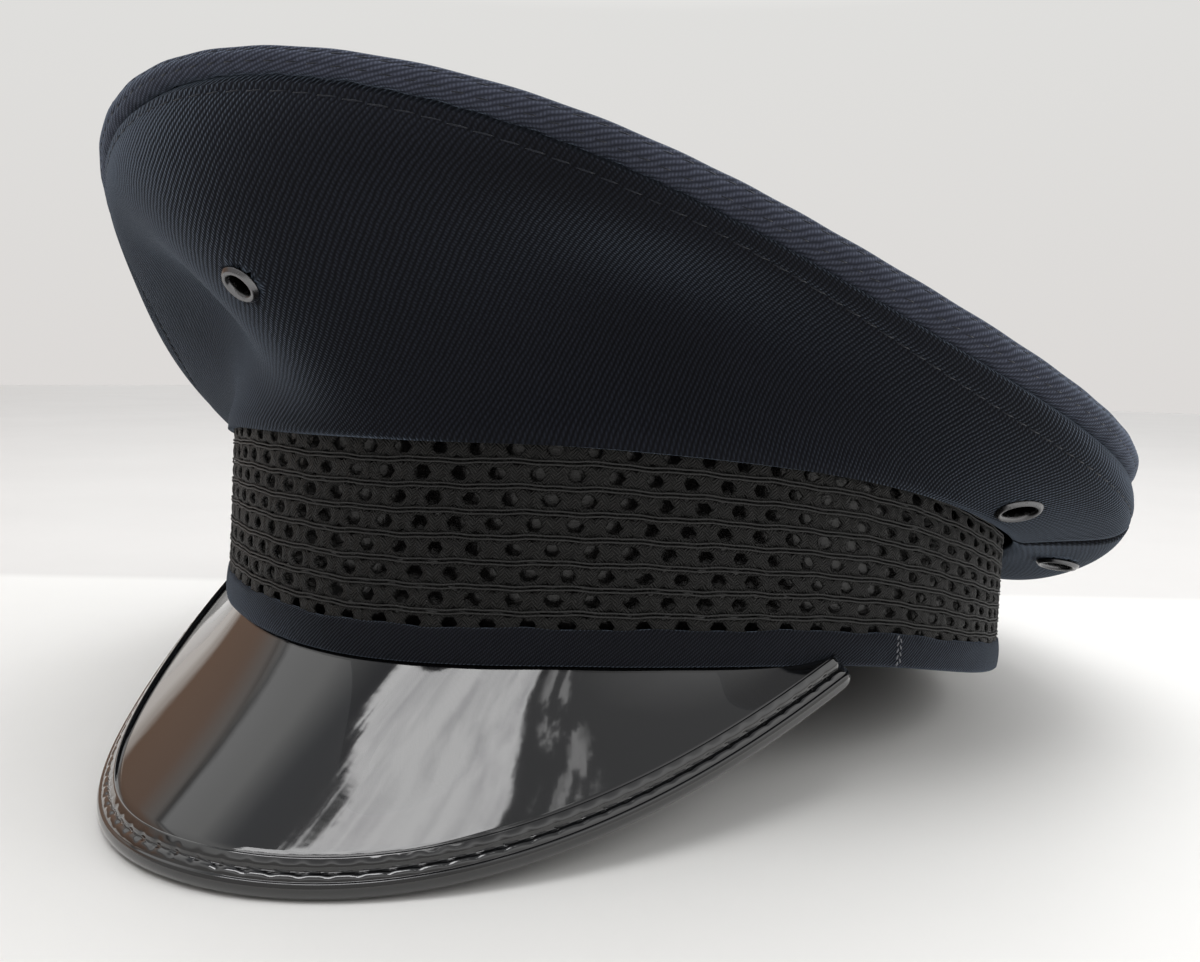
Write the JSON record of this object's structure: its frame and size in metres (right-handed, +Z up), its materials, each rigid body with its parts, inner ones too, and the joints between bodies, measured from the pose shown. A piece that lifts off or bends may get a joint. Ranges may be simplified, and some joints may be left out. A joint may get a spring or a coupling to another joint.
{
  "type": "peaked uniform cap",
  "caption": "Peaked uniform cap with a high-fronted round twill crown, a woven openwork band, a cloth base strip, vent eyelets and a glossy bound peak.",
  "frame": {"origin": "middle of the bounding box's base, on the surface that the cap rests on", "axes": "-Y is the cap's front, where the peak is, +X is the wearer's left, +Z is up as the cap rests on a table"},
  "size_m": [0.2334, 0.2764, 0.1199],
  "materials": {
    "navy_twill": "fine diagonal twill, matt",
    "navy_strip": "plain cloth, matt",
    "black_cane": "woven openwork, slight sheen",
    "black_leather": "smooth, semi-gloss",
    "black_patent": "patent, high gloss",
    "gunmetal": "dark, polished"
  },
  "bodies": {
    "root": {"crown_front": "navy_twill", "crown_rear": "navy_twill", "crown_top": "navy_twill", "mesh_band": "black_cane", "base_strip": "navy_strip", "sweatband": "black_leather", "visor": "black_patent", "visor_binding": "black_patent", "badge_eyelet": "gunmetal", "vent_eyelet_left_front": "gunmetal", "vent_eyelet_left_rear": "gunmetal", "vent_eyelet_right_front": "gunmetal", "vent_eyelet_right_rear": "gunmetal"}
  },
  "joints": []
}
